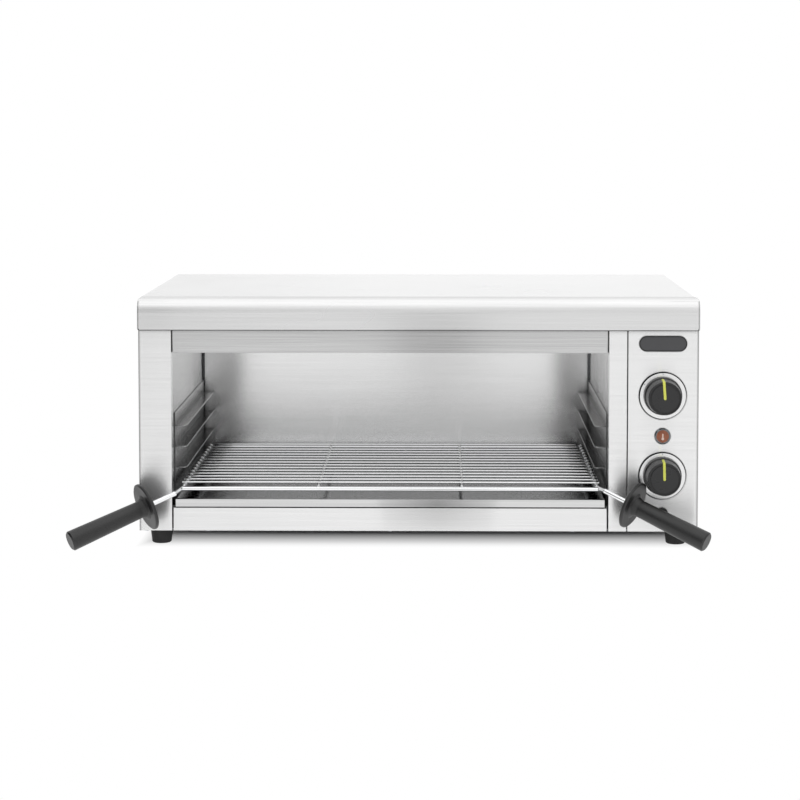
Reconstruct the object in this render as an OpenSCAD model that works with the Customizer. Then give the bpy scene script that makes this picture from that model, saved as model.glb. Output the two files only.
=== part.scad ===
// Counter-top cheese melter: an open-fronted electric grill with a pull-out wire rack and a drip tray.
// Local axes: X from the left side of the body, Y from its front face to the back, Z from its underside.

/* [Casing] */
// Width of the body across the sheet metal
body_w = 608; // [560:1:760]
// Depth of the body, front face to back face
body_d = 322; // [318:1:400]
// Height from the underside of the body to the top of the cover
body_h = 256; // [250:1:300]
// Thickness of the outer sheet
sheet = 1.2; // [0.8:0.1:2]
// Thickness of the cavity sheet
liner = 1; // [0.8:0.1:1.5]
// Gap between sheets that meet without touching
seam = 0.3; // [0.2:0.05:0.6]
// Depth of the returns folded back behind the front face
fold = 13; // [8:1:20]

/* [Cover] */
// Overhang of the cover in front of the body
cover_front = 8; // [4:0.5:14]
// Height of the apron and of the side skirts
apron_h = 36.3; // [30:0.1:45]
// Radius of the rolled front edge
roll_r = 17; // [10:0.5:22]
// Rise of the roll's arc above the flat top, which leaves a crease
roll_rise = 0.4; // [0.1:0.1:0.8]
// Radius of the side edges
edge_r = 5; // [3:0.5:8]
// Width of the hem turned in under the apron
hem_w = 6; // [4:0.5:7]
// Outer radius of the folds under the cover
hem_r = 2; // [1.5:0.1:2.5]

/* [Front] */
// Width of the left post
post_w = 35.5; // [30:0.5:50]
// Width of the right post
right_post_w = 19.5; // [16:0.5:40]
// Width of the control panel
panel_w = 77.5; // [70:0.5:110]
// Height of the bottom rail
bottom_rail_h = 25; // [24:0.5:40]
// Height of the underside of the top rail
header_z = 194.8; // [180:0.1:205]
// Set-back of the lower edge of the top rail
header_tilt = 1.5; // [0:0.1:4]
// Gap at each end of the rails
rail_gap = 1.6; // [0.4:0.1:2.5]
// Gap between the right post and the control panel
post_gap = 1.2; // [0.4:0.1:2]

/* [Cavity] */
// Depth of the cavity behind the front face
cavity_d = 312; // [290:1:314]
// Height of the cavity ceiling
ceiling_z = 225; // [220:1:240]
// Width of the slits beside the back wall
slit_w = 2; // [1:0.1:4]

/* [Rack guides] */
// Number of guide levels
levels = 4; // [2:1:4]
// Height of the lowest shelf
shelf_z = 43; // [42:0.5:48]
// Distance between shelves
level_pitch = 23; // [18:0.1:24]
// Width of each shelf
shelf_w = 12.5; // [10:0.5:16]
// Radius of the front corner of a shelf
shelf_r = 4; // [2:0.5:8]
// Height of the guide plate above the top shelf
guide_rise = 14; // [6:0.5:20]
// Set-back of the guides behind the front face
guide_front = 25; // [18:1:40]

/* [Rack] */
// Diameter of the frame rods
rod_d = 5; // [4:0.1:6]
// Diameter of the grid wires
wire_d = 2.4; // [2:0.1:3]
// Diameter of the two stay rods
stay_d = 4; // [3:0.1:5]
// Gap between the rack and the guide plates
rack_gap = 7.7; // [6:0.1:9]
// Number of grid wires
wires = 15; // [8:1:18]
// Distance from the front face to the front bar
bar_y = 3; // [3:0.5:10]
// Distance from the front bar to the first wire
first_wire = 20; // [12:0.5:30]
// Depth of the rack from front bar to rear bar
rack_d = 292; // [240:1:292]
// Distance between the two stay rods
stay_span = 157; // [100:1:220]

/* [Handles] */
// Length of the tapered grip
grip_l = 93.5; // [70:0.5:100]
// Diameter of the grip beside the guard
grip_d1 = 18.5; // [14:0.1:22]
// Diameter of the grip at its end
grip_d2 = 21.6; // [16:0.1:26]
// Diameter of the heat guard
guard_d = 52; // [40:0.5:56]
// Thickness of the heat guard at its rim
guard_t = 4; // [3:0.1:6]
// Length of the stem from its bend to the guard
stem_l = 33; // [28:0.5:40]
// Length of the stem inside the grip
stem_in = 55; // [30:1:70]
// Reach of the rods in front of the front face
rod_reach = 13; // [12:0.5:22]
// Drop of the left rod from the rack to its bend
left_drop = 3; // [-2:0.1:5]
// Drop of the right rod from the rack to its bend
right_drop = -0.9; // [-2:0.1:5]
// Outward set of the rods at their bend
rod_splay = 6.6; // [0:0.1:7]
// Turn of each handle out from straight ahead, in degrees
splay_a = 60; // [50:0.5:63]
// Downward tilt of the left handle, in degrees
left_droop = 18.7; // [10:0.1:21]
// Downward tilt of the right handle, in degrees
right_droop = 20.3; // [10:0.1:21]

/* [Drip tray] */
// Width of the drip tray
tray_w = 467.5; // [450:0.5:470]
// Height of the tray walls
tray_h = 8.2; // [5:0.1:9]
// Thickness of the tray sheet
tray_t = 0.8; // [0.6:0.1:1.2]
// Depth of the drip tray
tray_d = 284; // [240:1:286]

/* [Dials and knobs] */
// Height of the upper dial
upper_z = 148.8; // [140:0.5:155]
// Height of the lower dial
lower_z = 61.3; // [55:0.5:70]
// Diameter of the dial rings
dial_d = 52.3; // [44:0.1:60]
// Thickness of the dial rings
dial_t = 1.4; // [1:0.1:2]
// Diameter of the knob at its foot
knob_d = 42; // [41:0.5:43]
// Diameter of the knob at its front
knob_front_d = 36; // [34:0.5:38]
// Height of the knob
knob_h = 23; // [16:0.5:30]
// Width of the pointer stripe
pointer_w = 2.8; // [2:0.1:4]
// Diameter of the control spindles
spindle_d = 6; // [5:0.5:8]
// Radial clearance of turning shafts
shaft_fit = 0.05; // [0.03:0.01:0.1]
// Lean of the upper pointer to the left, in degrees
upper_lean = 4; // [-10:0.5:10]
// Lean of the lower pointer to the left, in degrees
lower_lean = 1.5; // [-10:0.5:10]

/* [Lamp, badge and reset] */
// Height of the pilot lamp
lamp_z = 104.7; // [98:0.1:112]
// Diameter of the lamp bezel
bezel_d = 17.7; // [15:0.1:22]
// Diameter of the lamp lens
lens_d = 13.5; // [10:0.1:14]
// Length of the bare badge plate
badge_l = 52; // [30:0.5:60]
// Height of the bare badge plate
badge_h = 17; // [12:0.5:20]
// Height of the middle of the badge plate
badge_z = 205.5; // [195:0.5:208]
// Height of the reset button
reset_z = 20; // [16:0.5:28]
// Diameter of the reset button
reset_d = 7.6; // [5:0.1:9]
// Travel of the reset button
reset_travel = 2; // [1:0.1:3]

/* [Heating] */
// Diameter of the tubular elements
element_d = 8; // [6:0.1:10]
// Height of the elements
element_z = 210; // [206:0.5:214]
// Distance between the two legs of an element
hairpin = 50; // [36:1:60]
// Distance between the middles of the two elements
element_pitch = 112; // [90:1:130]

/* [Feet and screws] */
// Height of the feet
foot_h = 15; // [10:0.5:25]
// Diameter of a foot at its top
foot_d1 = 24.8; // [18:0.1:26]
// Diameter of a foot at its sole
foot_d2 = 20.2; // [14:0.1:24]
// Distance from the sides of the body to the middle of a foot
foot_inset = 22.5; // [22:0.5:30]
// Distance from the front and back faces to the middle of a foot
foot_setback = 14; // [13:0.5:45]
// Diameter of the screw shanks
screw_d = 3.8; // [3:0.1:5]
// Distance of the base screws behind the front face
screw_y = 9; // [7:0.5:12]

/* [Hidden] */
$fn = 48;
eps = 0.01;

// Front layout
open_l = post_w;
open_r = body_w - panel_w - right_post_w;
open_w = open_r - open_l;
open_mid = (open_l + open_r) / 2;
panel_l = open_r + right_post_w + post_gap;
panel_mid = body_w - panel_w / 2;
skirt_z = body_h - apron_h;
skirt_in = sheet + seam;
roof_z = body_h - sheet;
frame_top = roof_z - 6;
rail_l = open_l + rail_gap;
rail_r = open_r - rail_gap;
back_in = body_d - sheet;
flange_w = foot_inset + foot_d1 / 2 + 1.5;
deck_z = 2 * sheet;
stand_z = deck_z + seam;

// Cavity
floor_z = bottom_rail_h + liner;
guide_l = open_l + liner;
guide_r = open_r - liner;
guide_back = cavity_d - 4;
guide_top = shelf_z + (levels - 1) * level_pitch + guide_rise;

// Rack
weld = 0.2;
rack_l = guide_l + rack_gap + rod_d / 2;
rack_r = guide_r - rack_gap - rod_d / 2;
rack_z = shelf_z + seam + rod_d / 2;
grid_z = rack_z + rod_d / 2 + wire_d / 2 - weld;
stay_z = rack_z + (rod_d - stay_d) / 2;
wire_pitch = (rack_d - first_wire - 6) / (wires - 1);
left_bend = [rack_l - rod_splay, -rod_reach, rack_z - left_drop];
right_bend = [rack_r + rod_splay, -rod_reach, rack_z - right_drop];
tail = stem_l + stem_in;
left_aim = [-sin(splay_a) * cos(left_droop), -cos(splay_a) * cos(left_droop), -sin(left_droop)];
right_aim = [sin(splay_a) * cos(right_droop), -cos(splay_a) * cos(right_droop), -sin(right_droop)];

// Drip tray
tray_z = floor_z + seam;
tray_l = open_mid - tray_w / 2;

// Knobs
knob_y = -dial_t - 0.6;
knob_round = 0.9;
groove_in = knob_front_d / 2 - 3.2;
groove_w = 1.7;
groove_deep = 1.5;
pointer_proud = 0.3;
pointer_deep = 0.8;
pointer_low = 8;
control_box = 40;
control_deep = 34;
collar_d = spindle_d + 6;

// Heating
element_mid = cavity_d * 0.52;
element_left = open_l + hairpin / 2 + element_d / 2 + 12;
bracket_in = open_w * 0.23;
terminal_x = open_r + 22;

// Sensor bulb and its tube
bulb_d = 6;
bulb_l = 90;
bulb_x = open_r - open_w / 8;
bulb_y = cavity_d - 18;
bulb_z = ceiling_z - bulb_d * 1.5;
tube_d = 2;
tube_x = open_r + 20;

// Supply side
block_w = 48;
block_deep = 18;
block_x = panel_mid - block_w / 2;
block_y = body_d - 72;
terminal_pitch = 12;
lead_d = 2.4;
lead_z = deck_z + 5;
gland_x = panel_mid;
gland_z = 45;
gland_d = 16;
cord_d = 8;

// Reset button
reset_proud = 4.5;

// Screws
head_d = screw_d * 1.85;
head_t = screw_d * 0.6;
side_screw = 6.8;
rail_screw = 38.5;

// The origin is under the middle of the whole outline, with the handles in it.
handle_l = grip_l + stem_l;
function handle_reach(v, i) = abs(v[i]) * handle_l + grip_d2 / 2 * sqrt(1 - v[i] * v[i]);
outer_l = min(left_bend[0] - handle_reach(left_aim, 0), 0);
outer_r = max(right_bend[0] + handle_reach(right_aim, 0), body_w);
outer_f = -rod_reach - max(handle_reach(left_aim, 1), handle_reach(right_aim, 1));
gland_out = 14;
outer_b = body_d + gland_out;

module place() {
    translate([-(outer_l + outer_r) / 2, -(outer_f + outer_b) / 2, foot_h]) children();
}

// A block from one corner to the other.
module block(a, b) {
    translate(a) cube([b[0] - a[0], b[1] - a[1], b[2] - a[2]]);
}

// Turns a profile drawn in (Y, Z) into a bar from x0 to x1.
module bar_across(x0, x1) {
    translate([x0, 0, 0]) rotate([90, 0, 90]) linear_extrude(x1 - x0) children();
}

// Turns a profile drawn in (X, Z) into a bar from y0 to y1.
module bar_back(y0, y1) {
    translate([0, y1, 0]) rotate([90, 0, 0]) linear_extrude(y1 - y0) children();
}

// A round bar from the front of the panel inwards, drawn at (x, z).
module peg(x, z, y0, y1, d) {
    translate([x, y1, z]) rotate([90, 0, 0]) cylinder(h = y1 - y0, d = d);
}

// Points a shape made along +Z in the direction v.
module aimed(v) {
    len = norm(v);
    rotate([0, acos(v[2] / len), atan2(v[1], v[0])]) children();
}

// A round rod through a list of points, with slightly fuller ball corners.
module rod(points, d) {
    for (i = [0 : len(points) - 2]) {
        span = points[i + 1] - points[i];
        translate(points[i]) aimed(span) cylinder(h = norm(span), d = d);
    }
    for (i = [1 : 1 : len(points) - 2]) translate(points[i]) sphere(d = d + 0.2);
}

module slot_2d(l, h) {
    square([l - h, h], center = true);
    for (side = [-1, 1]) translate([side * (l - h) / 2, 0]) circle(d = h);
}

// ---- Casing ----

// Side view of the cover: the roll's arc would rise a little above the top, so it meets it in a crease.
module cover_side_profile(inset) {
    front = -cover_front + inset;
    middle = -cover_front + roll_r;
    middle_z = body_h - roll_r + roll_rise;
    intersection() {
        union() {
            translate([front, skirt_z - 1]) square([body_d - front, middle_z - skirt_z + 1]);
            translate([middle, skirt_z - 1]) square([body_d - middle, apron_h + roll_r]);
            translate([middle, middle_z]) circle(roll_r - inset, $fn = 96);
        }
        translate([front - 1, skirt_z - 1]) square([body_d + roll_r * 2, body_h - inset - skirt_z + 1]);
    }
}

module cover_front_profile(inset) {
    top = body_h - inset;
    r = edge_r - inset;
    translate([inset, 0]) square([body_w - 2 * inset, top - r]);
    translate([edge_r, 0]) square([body_w - 2 * edge_r, top]);
    for (x = [edge_r, body_w - edge_r]) translate([x, top - r]) circle(r);
}

module cover_solid(inset, back) {
    intersection() {
        bar_across(-20, body_w + 20) cover_side_profile(inset);
        bar_back(-cover_front - 5, back) cover_front_profile(inset);
    }
}

// Front view of the cover's outline, with its lower corners rounded by the folds.
module cover_outline() {
    translate([0, skirt_z + hem_r]) square([body_w, body_h]);
    translate([hem_r, skirt_z]) square([body_w - 2 * hem_r, body_h]);
    for (x = [hem_r, body_w - hem_r]) translate([x, skirt_z + hem_r]) circle(hem_r);
}

module top_cover() {
    lip = -cover_front;
    color("gainsboro") {
        difference() {
            intersection() {
                cover_solid(0, body_d);
                bar_back(lip - 5, body_d + 5) cover_outline();
            }
            cover_solid(sheet, body_d + 5);
            block([-20, lip - 5, skirt_z - 5], [body_w + 20, lip + sheet + eps, skirt_z + hem_r]);
        }
        // The apron's lower edge is folded back into a hem.
        bar_across(hem_r, body_w - hem_r) {
            translate([lip + hem_r, skirt_z + hem_r]) intersection() {
                difference() {
                    circle(hem_r);
                    circle(hem_r - sheet);
                }
                translate([-hem_r, -hem_r]) square([hem_r + eps, hem_r + eps]);
            }
            translate([lip + hem_r, skirt_z]) square([hem_w - hem_r, sheet]);
        }
    }
}

// Side sheet with a front face, returns behind it, and turned-in flanges; drawn for the left side.
// It steps in under the cover's skirt, so the skirt is flush with the side.
module side_sheet(face_w) {
    step_z = skirt_z - seam;
    face_top = frame_top - sheet;
    bend_r = edge_r + sheet;
    block([0, 0, 0], [sheet, back_in, step_z]);
    block([0, 0, step_z - sheet], [skirt_in + sheet, back_in, step_z]);
    block([skirt_in, 0, step_z - eps], [skirt_in + sheet, back_in, face_top]);
    block([0, 0, 0], [face_w, sheet, step_z]);
    block([skirt_in, 0, step_z - eps], [face_w, sheet, face_top]);
    block([face_w - sheet, 0, stand_z], [face_w, fold, face_top]);
    block([0, back_in - sheet, 0], [fold + 5, back_in, step_z]);
    block([0, 0, 0], [min(flange_w, face_w), back_in, sheet]);
    block([skirt_in, roll_r, face_top - eps], [skirt_in + sheet, back_in, roof_z - bend_r]);
    bar_back(roll_r, back_in) translate([skirt_in + bend_r, roof_z - bend_r]) {
        intersection() {
            difference() {
                circle(bend_r);
                circle(edge_r);
            }
            translate([-bend_r, 0]) square(bend_r);
        }
        translate([0, edge_r]) square([fold, sheet]);
    }
}

module base_screw_spots() {
    for (x = [side_screw, body_w - side_screw], y = [screw_y, body_d - foot_setback - foot_d1]) {
        translate([x, y, 0]) children();
    }
    for (x = [open_l + rail_screw, open_mid, open_r - rail_screw]) translate([x, screw_y, 0]) children();
}

module foot_spots() {
    for (x = [foot_inset, body_w - foot_inset], y = [foot_setback, body_d - foot_setback]) {
        translate([x, y, 0]) children();
    }
}

module base_holes() {
    base_screw_spots() translate([0, 0, -1]) cylinder(h = 8, d = screw_d + 2 * shaft_fit);
    foot_spots() translate([0, 0, -1]) cylinder(h = 8, d = screw_d + 2 * shaft_fit);
}

module left_side_panel() {
    color("gainsboro") difference() {
        side_sheet(post_w);
        base_holes();
        back_holes();
    }
}

module control_panel() {
    color("gainsboro") difference() {
        translate([body_w, 0, 0]) mirror([1, 0, 0]) side_sheet(panel_w - post_gap);
        base_holes();
        back_holes();
        for (z = [upper_z, lower_z]) peg(panel_mid, z, -1, sheet + 1, collar_d + 2 * shaft_fit);
        peg(panel_mid, lamp_z, -1, sheet + 1, lens_d - 1 + 2 * shaft_fit);
        peg(panel_mid, reset_z, -1, sheet + 1, reset_d + 2 + 2 * shaft_fit);
    }
}

module right_post() {
    color("gainsboro") {
        block([open_r, 0, 0], [open_r + right_post_w, sheet, frame_top]);
        block([open_r, 0, stand_z], [open_r + sheet, fold, frame_top]);
        block([panel_l - post_gap - sheet, 0, stand_z], [panel_l - post_gap, fold, frame_top]);
    }
}

module top_rail() {
    foot = header_z;
    tab_z = skirt_z + 4;
    color("silver") {
        bar_across(rail_l, rail_r) polygon([
            [0, tab_z], [0, skirt_z], [header_tilt, foot], [fold, foot], [fold, foot + 8],
            [fold - sheet, foot + 8], [fold - sheet, foot + sheet], [header_tilt + sheet, foot + sheet],
            [sheet, skirt_z], [sheet, tab_z]
        ]);
        // Behind the apron the rail reaches the returns of both posts.
        bar_across(open_l, open_r) polygon([
            [0, tab_z], [sheet, tab_z], [sheet, frame_top - sheet], [fold, frame_top - sheet],
            [fold, frame_top], [0, frame_top]
        ]);
    }
}

module bottom_rail() {
    h = bottom_rail_h;
    color("gainsboro") difference() {
        union() {
            bar_across(rail_l, rail_r) polygon([
                [0, 0], [sheet, 0], [sheet, h - sheet], [fold, h - sheet], [fold, h], [0, h]
            ]);
            block([flange_w + seam, sheet - eps, 0], [rail_r, screw_y * 2, sheet]);
        }
        base_holes();
    }
}

module base_plate() {
    color("silver") difference() {
        block([sheet + seam, sheet + seam, sheet], [body_w - sheet - seam, back_in - sheet - seam, deck_z]);
        base_holes();
        // Air slots under the control space
        for (i = [0 : 7]) {
            translate([(open_r + body_w - flange_w) / 2, 90 + i * 18, 0]) linear_extrude(5) slot_2d(42, 4);
        }
    }
}

module back_screw_spots() {
    for (x = [fold / 2 + 4, body_w - fold / 2 - 4], z = [30, skirt_z - 15]) {
        translate([x, 0, z]) children();
    }
}

module back_holes() {
    back_screw_spots() translate([0, body_d + 1, 0]) rotate([90, 0, 0])
        cylinder(h = 6, d = screw_d + 2 * shaft_fit);
}

module back_panel() {
    color("silver") difference() {
        intersection() {
            bar_back(back_in, body_d) cover_front_profile(sheet + seam);
            block([-1, 0, 0], [body_w + 1, body_d + 1, roof_z - seam]);
        }
        back_holes();
        peg(gland_x, gland_z, body_d - 5, body_d + 2, gland_d + 2 * shaft_fit);
        // Rows of air slots behind the control space
        for (i = [0 : 8], row = [0, 1]) {
            translate([panel_mid - 32 + i * 8, body_d + 1, 105 + row * 60]) rotate([90, 90, 0])
                linear_extrude(4) slot_2d(44, 3.5);
        }
    }
}

module back_screws() {
    color("silver") back_screw_spots() translate([0, body_d, 0]) rotate([90, 0, 0]) screw(7);
}

// Pan-head screw: the head's seat is at z = 0, the shank runs up.
module screw(shank) {
    cylinder(h = shank, d = screw_d);
    difference() {
        translate([0, 0, -head_t]) intersection() {
            cylinder(h = head_t, d = head_d);
            translate([0, 0, head_d * 0.75]) sphere(d = head_d * 1.5);
        }
        for (a = [0, 90]) {
            rotate(a) translate([-head_d * 0.3, -0.4, -head_t - 1]) cube([head_d * 0.6, 0.8, 1.8]);
        }
    }
}

module base_screws() {
    color("silver") base_screw_spots() screw(8);
}

module feet() {
    color("#1a1a1a") foot_spots() difference() {
        rotate_extrude() polygon([
            [0, 0], [foot_d1 / 2, 0], [foot_d2 / 2 + 0.5, -foot_h + 1], [foot_d2 / 2 - 0.6, -foot_h], [0, -foot_h]
        ]);
        translate([0, 0, -foot_h - 1]) cylinder(h = foot_h * 0.5 + 1, d = head_d + 2);
        translate([0, 0, -foot_h - 1]) cylinder(h = foot_h + 2, d = screw_d + 2 * shaft_fit);
    }
}

module foot_screws() {
    color("silver") foot_spots() translate([0, 0, -foot_h * 0.5]) screw(foot_h * 0.5 + 6);
}

// ---- Cavity ----

module cavity_left_wall() {
    color("darkgray") block([open_l - liner, fold + seam, stand_z], [open_l, cavity_d, ceiling_z]);
}

module cavity_right_wall() {
    color("darkgray") difference() {
        block([open_r, fold + seam, stand_z], [open_r + liner, cavity_d, ceiling_z]);
        element_legs() rotate([0, 90, 0]) cylinder(h = 60, d = element_d + 2 * shaft_fit);
        translate([open_r - 5, bulb_y, bulb_z]) rotate([0, 90, 0]) cylinder(h = 20, d = tube_d + 1);
    }
}

module cavity_back() {
    color("darkgray") difference() {
        block([open_l - liner, cavity_d, stand_z], [open_r + liner, cavity_d + liner, ceiling_z]);
        for (x = [open_l, open_r - slit_w]) {
            block([x, cavity_d - 1, guide_top], [x + slit_w, cavity_d + 3, ceiling_z - 8]);
        }
    }
}

module cavity_floor() {
    color("darkgray") block([open_l, 8, bottom_rail_h], [open_r, cavity_d, floor_z]);
}

module cavity_ceiling() {
    color("darkgray") block([open_l - liner, fold + seam, ceiling_z],
                            [open_r + liner, cavity_d + liner, ceiling_z + liner]);
}

// Guide plate with its bent-out shelves, drawn on the left wall.
module guides() {
    block([0, guide_front, floor_z], [liner, guide_back, guide_top]);
    for (i = [0 : levels - 1]) translate([liner - eps, 0, shelf_z - liner + i * level_pitch]) {
        linear_extrude(liner) difference() {
            translate([0, guide_front]) square([shelf_w, guide_back - guide_front]);
            translate([shelf_w - shelf_r, guide_front]) difference() {
                translate([0, -1]) square([shelf_r + 1, shelf_r + 1]);
                translate([0, shelf_r]) circle(shelf_r);
            }
        }
    }
}

module left_rack_guides() {
    color("dimgray") translate([open_l, 0, 0]) guides();
}

module right_rack_guides() {
    color("dimgray") translate([open_r, 0, 0]) mirror([1, 0, 0]) guides();
}

// ---- Heating ----

module element_legs() {
    for (m = [-1, 1], leg = [-1, 1]) {
        translate([open_r - 5, element_mid + m * element_pitch / 2 + leg * hairpin / 2, element_z]) children();
    }
}

module hairpin_element(y) {
    r = hairpin / 2;
    color("#3c3733") {
        for (leg = [-1, 1]) translate([element_left, y + leg * r, element_z]) rotate([0, 90, 0]) {
            cylinder(h = terminal_x - element_left, d = element_d);
            cylinder(h = terminal_x - element_left + 10, d = 3);
        }
        translate([element_left, y, element_z]) rotate([0, 0, 90]) rotate_extrude(angle = 180)
            translate([r, 0]) circle(d = element_d);
    }
}

module front_element() {
    hairpin_element(element_mid - element_pitch / 2);
}

module rear_element() {
    hairpin_element(element_mid + element_pitch / 2);
}

module element_brackets() {
    reach = element_pitch / 2 + hairpin / 2 + 12;
    color("silver") for (x = [open_l + bracket_in, open_r - bracket_in]) difference() {
        union() {
            block([x, element_mid - reach, element_z - 9], [x + 1.5, element_mid + reach, ceiling_z]);
            block([x, element_mid - reach, ceiling_z - 1.5], [x + 14, element_mid + reach, ceiling_z]);
        }
        element_legs() rotate([0, 90, 0]) translate([0, 0, -open_w]) cylinder(h = open_w * 2, d = element_d + 0.4);
    }
}

module element_bushes() {
    color("gainsboro") element_legs() translate([5 + liner, 0, 0]) rotate([0, 90, 0]) difference() {
        cylinder(h = 5, d = element_d + 8, $fn = 6);
        translate([0, 0, -1]) cylinder(h = 7, d = element_d + 2 * shaft_fit);
    }
}

module sensor_bulb() {
    color("chocolate") {
        translate([bulb_x - bulb_l, bulb_y, bulb_z]) rotate([0, 90, 0]) cylinder(h = bulb_l, d = bulb_d);
        rod([
            [bulb_x - 1, bulb_y, bulb_z], [tube_x, bulb_y, bulb_z], [tube_x, bulb_y, upper_z + 8],
            [panel_mid - 8, bulb_y, upper_z + 8], [panel_mid - 8, sheet + control_deep + 1, upper_z + 8]
        ], tube_d);
    }
}

module bulb_clips() {
    clip_w = 5;
    color("silver") for (x = [bulb_x - bulb_l * 0.8, bulb_x - bulb_l * 0.2]) difference() {
        union() {
            translate([x, bulb_y, bulb_z]) rotate([0, 90, 0]) cylinder(h = clip_w, d = bulb_d + 2);
            block([x, bulb_y - 1, bulb_z], [x + clip_w, bulb_y + 1, ceiling_z]);
        }
        translate([x - 1, bulb_y, bulb_z]) rotate([0, 90, 0]) cylinder(h = clip_w + 2, d = bulb_d + 2 * shaft_fit);
    }
}

// ---- Controls ----

module dial_ring(z) {
    color("silver") translate([panel_mid, 0, z]) rotate([90, 0, 0]) rotate_extrude($fn = 96) polygon([
        [collar_d / 2 + 1, 0], [dial_d / 2, 0], [dial_d / 2, dial_t - 0.3], [dial_d / 2 - 0.5, dial_t],
        [dial_d / 2 - 1.2, dial_t - 0.3], [collar_d / 2 + 1, dial_t - 0.3]
    ]);
}

module control_body(z) {
    half = control_box / 2;
    color("dimgray") difference() {
        union() {
            block([panel_mid - half, sheet, z - half], [panel_mid + half, sheet + control_deep, z + half]);
            peg(panel_mid, z, 0, sheet + 1, collar_d);
            for (x = [-1, 1]) {
                block([panel_mid + x * 10 - 3, sheet + control_deep - 1, z - 0.4],
                      [panel_mid + x * 10 + 3, sheet + control_deep + 8, z + 0.4]);
            }
        }
        peg(panel_mid, z, -1, sheet + 20, spindle_d + 2 * shaft_fit);
    }
}

module spindle(z) {
    color("silver") peg(panel_mid, z, knob_y - knob_h * 0.55, sheet + 19.5, spindle_d);
}

// Outline of the knob, grown by g: skirted foot, cone and rounded rim.
module knob_outline(g) {
    r1 = knob_d / 2;
    r2 = knob_front_d / 2;
    rim = [for (a = [90 : -15 : 0]) [
        r2 - knob_round + (knob_round + g) * cos(a), knob_h - knob_round + (knob_round + g) * sin(a)
    ]];
    polygon(concat([[0, 1], [0, knob_h + g]], rim, [
        [r1 - 1.6 + g, 5.2], [r1 - 0.6 + g, 4.6], [r1 + g, 0], [r1 - 2, 0], [r1 - 3, 1]
    ]));
}

module knob(z, lean) {
    color("#3a3a3a") translate([panel_mid, knob_y, z]) rotate([90, 0, 0]) difference() {
        rotate_extrude($fn = 96) difference() {
            knob_outline(0);
            translate([groove_in, knob_h - groove_deep]) square([groove_w, groove_deep * 2]);
        }
        translate([0, 0, -1]) cylinder(h = knob_h * 0.55 + 1, d = spindle_d + 2 * shaft_fit);
        rotate(lean) pointer_shape();
    }
}

// The pointer stripe runs from the middle of the face over the rim and down the cone, in the knob's own axes.
module pointer_shape() {
    intersection() {
        rotate_extrude($fn = 96) difference() {
            knob_outline(pointer_proud);
            knob_outline(-pointer_deep);
        }
        // Seen from the front the stripe has a round inner end, and seen from above a round lower end.
        translate([0, 0, pointer_low]) linear_extrude(knob_h) {
            translate([-pointer_w / 2, 0]) square([pointer_w, knob_d]);
            circle(d = pointer_w);
        }
        translate([0, knob_d, pointer_low + pointer_w / 2]) rotate([90, 0, 0]) linear_extrude(knob_d * 2) {
            translate([-pointer_w / 2, 0]) square([pointer_w, knob_h]);
            circle(d = pointer_w);
        }
    }
}

module pointer(z, lean) {
    color("#dfe35a") translate([panel_mid, knob_y, z]) rotate([90, 0, 0]) rotate(lean) pointer_shape();
}

module lamp_bezel() {
    color("#2b2b2b") translate([panel_mid, 0, lamp_z]) rotate([90, 0, 0]) rotate_extrude() difference() {
        polygon([
            [lens_d / 2 + 0.1, 0], [bezel_d / 2, 0], [bezel_d / 2, 1.2], [bezel_d / 2 - 1, 2.2],
            [lens_d / 2 + 0.1, 2.2]
        ]);
    }
}

module lamp_lens() {
    r = lens_d / 2;
    color("#c8642a") translate([panel_mid, 0, lamp_z]) rotate([90, 0, 0]) intersection() {
        cylinder(h = 5, r = r);
        translate([0, 0, 3.4 - 3 * r]) sphere(r = 3 * r, $fn = 96);
    }
}

module lamp_body() {
    color("whitesmoke") difference() {
        union() {
            peg(panel_mid, lamp_z, 0, 24, lens_d - 1);
            peg(panel_mid, lamp_z, sheet, sheet + 3, bezel_d);
        }
        peg(panel_mid, lamp_z, 20, 26, 6);
    }
}

module badge_plate() {
    color("#505050") translate([panel_mid, 0, badge_z]) rotate([90, 0, 0]) {
        linear_extrude(0.9) slot_2d(badge_l, badge_h);
        linear_extrude(1.3) difference() {
            slot_2d(badge_l, badge_h);
            slot_2d(badge_l - 2.4, badge_h - 2.4);
        }
    }
}

module reset_collar() {
    color("#222222") difference() {
        union() {
            peg(panel_mid, reset_z, -1.6, 0, reset_d + 5);
            peg(panel_mid, reset_z, -1.6, 10, reset_d + 2);
        }
        peg(panel_mid, reset_z, -5, 12, reset_d + 4 * shaft_fit);
    }
}

module reset_button() {
    color("#1c1c1c") {
        peg(panel_mid, reset_z, 1 - reset_proud, 9, reset_d);
        translate([panel_mid, 1 - reset_proud, reset_z]) rotate([90, 0, 0]) intersection() {
            cylinder(h = 1, d = reset_d);
            translate([0, 0, 1 - reset_d]) sphere(r = reset_d);
        }
    }
}

module safety_cutout() {
    color("dimgray") difference() {
        block([panel_mid - 12, 10, reset_z - 10], [panel_mid + 12, 28, reset_z + 10]);
        peg(panel_mid, reset_z, 9, 9 + reset_travel + 2, reset_d + 2);
    }
}

module terminal_block() {
    color("whitesmoke") difference() {
        block([block_x, block_y, deck_z], [block_x + block_w, block_y + block_deep, deck_z + 16]);
        for (i = [0 : 3]) translate([block_x + (i + 0.5) * terminal_pitch, block_y, 0]) {
            translate([0, block_deep / 2, deck_z + 6]) cylinder(h = 20, d = 6);
            translate([0, -1, lead_z]) rotate([-90, 0, 0]) cylinder(h = 4, d = lead_d + 0.4);
        }
    }
}

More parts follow.
